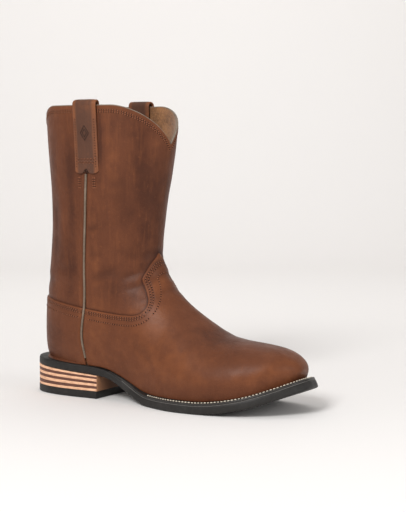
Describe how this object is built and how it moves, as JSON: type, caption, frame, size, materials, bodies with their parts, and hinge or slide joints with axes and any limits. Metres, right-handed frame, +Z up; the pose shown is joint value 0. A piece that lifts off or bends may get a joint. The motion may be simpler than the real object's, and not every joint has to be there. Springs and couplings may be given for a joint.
{
  "type": "roper boot",
  "caption": "Pull-on roper boot for the right foot: scalloped hollow shaft, plain round-toe vamp, heel counter, piped side seams, pull straps, welted sole and stacked low heel.",
  "frame": {"origin": "centre of the overall box, on the floor that heel and forefoot stand on", "axes": "+X from heel to toe, +Y to the medial (inner) side of this right boot, +Z up the shaft"},
  "size_m": [0.3048, 0.1108, 0.29],
  "materials": {
    "shaft_leather": "soft pull-up leather, red-brown, semi-matte",
    "vamp_leather": "soft pull-up leather, red-brown, semi-matte",
    "strap_leather": "smooth leather, double stitched edges",
    "piping": "grey-beige cord",
    "insole_leather": "tan suede",
    "welt_leather": "black, waxed",
    "tan_lift": "trimmed leather edge",
    "dark_lift": "trimmed leather edge, stained",
    "black_rubber": "smooth, matte"
  },
  "bodies": {
    "root": {"collar_binding": "piping", "counter": "vamp_leather", "heel_cap": "black_rubber", "heel_lift_dark_1": "dark_lift", "heel_lift_dark_2": "dark_lift", "heel_lift_dark_3": "dark_lift", "heel_lift_tan_1": "tan_lift", "heel_lift_tan_2": "tan_lift", "heel_lift_tan_3": "tan_lift", "heel_lift_tan_4": "tan_lift", "insole": "insole_leather", "outsole": "black_rubber", "pull_strap_lateral": "strap_leather", "pull_strap_medial": "strap_leather", "side_piping_lateral": "piping", "side_piping_medial": "piping", "upper": "shaft_leather", "vamp": "vamp_leather", "welt": "welt_leather"}
  },
  "joints": []
}
